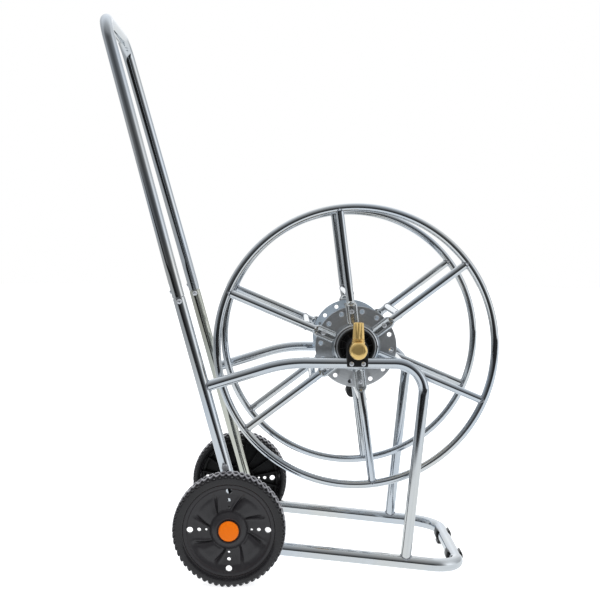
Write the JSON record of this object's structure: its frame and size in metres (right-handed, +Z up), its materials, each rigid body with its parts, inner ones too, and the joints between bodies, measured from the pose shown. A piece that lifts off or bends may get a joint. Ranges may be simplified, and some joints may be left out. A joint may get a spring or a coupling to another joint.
{
  "type": "garden_hose_reel_cart",
  "caption": "Garden hose reel cart: bent steel tube trolley on two plastic wheels, carrying an open wire-spoked hose reel with a crank and a brass swivel inlet, shown empty",
  "frame": {"origin": "on the ground, under the middle of the whole cart", "axes": "+X forward, towards the foot of the cart and away from the wheels; +Y towards the crank side; +Z up"},
  "size_m": [0.7346, 0.483, 1.0215],
  "materials": {
    "zinc_tube": "bright zinc-plated steel tube",
    "zinc_passivated": "zinc-plated steel tube with a yellow-green passivation tint",
    "flange_steel": "dark satin pressed steel",
    "fastener_steel": "zinc-plated fasteners",
    "crank_steel": "zinc-plated crank steel",
    "wheel_plastic": "charcoal moulded plastic",
    "tyre_plastic": "charcoal moulded tread",
    "orange_plastic": "orange moulded plastic",
    "black_plastic": "black moulded plastic",
    "brass": "machined brass"
  },
  "bodies": {
    "frame": {"base_loop": "zinc_tube", "upright_near": "zinc_tube", "upright_far": "zinc_passivated", "handle_loop": "zinc_tube", "handle_sleeve_near": "fastener_steel", "handle_sleeve_far": "fastener_steel", "handle_bolt_near": "fastener_steel", "handle_bolt_far": "fastener_steel", "handle_nut_near": "fastener_steel", "handle_nut_far": "fastener_steel", "side_support_near": "zinc_tube", "side_support_far": "zinc_tube", "bearing_block_near": "black_plastic", "bearing_block_far": "black_plastic", "block_screw_near_rear": "fastener_steel", "block_screw_near_front": "fastener_steel", "block_screw_far_rear": "fastener_steel", "block_screw_far_front": "fastener_steel", "foot_clip_near": "black_plastic", "foot_clip_far": "black_plastic", "wheel_axle": "fastener_steel"},
    "reel": {"ring_near": "zinc_tube", "ring_far": "zinc_tube", "spoke_near_1": "zinc_tube", "spoke_near_2": "zinc_tube", "spoke_near_3": "zinc_tube", "spoke_near_4": "zinc_tube", "spoke_near_5": "zinc_tube", "spoke_near_6": "zinc_tube", "spoke_far_1": "zinc_tube", "spoke_far_2": "zinc_tube", "spoke_far_3": "zinc_tube", "spoke_far_4": "zinc_tube", "spoke_far_5": "zinc_tube", "spoke_far_6": "zinc_tube", "drum_bar_1": "zinc_tube", "drum_bar_2": "zinc_tube", "drum_bar_3": "zinc_tube", "drum_bar_4": "zinc_tube", "drum_bar_5": "zinc_tube", "drum_bar_6": "zinc_tube", "flange_disc_near": "flange_steel", "flange_disc_far": "flange_steel", "hub_bush_near": "black_plastic", "hub_bush_far": "black_plastic", "hose_outlet": "brass", "crank_shaft": "crank_steel", "crank_arm": "black_plastic", "crank_knob_pin": "black_plastic"},
    "wheel_near": {"wheel_tyre_near": "tyre_plastic", "wheel_disc_near": "wheel_plastic", "wheel_cap_near": "orange_plastic", "axle_retainer_near": "fastener_steel"},
    "wheel_far": {"wheel_tyre_far": "tyre_plastic", "wheel_disc_far": "wheel_plastic", "wheel_cap_far": "orange_plastic", "axle_retainer_far": "fastener_steel"},
    "knob": {"crank_knob": "black_plastic"},
    "inlet": {"inlet_elbow": "brass"}
  },
  "joints": [
    {"name": "reel_spin", "type": "hinge", "parent": "frame", "child": "reel", "pos_m": [0.1054, 0, 0.415], "axis": [0, 1, 0], "continuous": true},
    {"name": "wheel_near_spin", "type": "hinge", "parent": "frame", "child": "wheel_near", "pos_m": [-0.12021, -0.2165, 0.1], "axis": [0, 1, 0], "continuous": true},
    {"name": "wheel_far_spin", "type": "hinge", "parent": "frame", "child": "wheel_far", "pos_m": [-0.12021, 0.2165, 0.1], "axis": [0, 1, 0], "continuous": true},
    {"name": "crank_knob_spin", "type": "hinge", "parent": "reel", "child": "knob", "pos_m": [0.1154, 0.2145, 0.2906], "axis": [0, 1, 0], "continuous": true},
    {"name": "inlet_elbow_swivel", "type": "hinge", "parent": "frame", "child": "inlet", "pos_m": [0.1054, -0.198, 0.415], "axis": [0, 1, 0], "continuous": true}
  ]
}
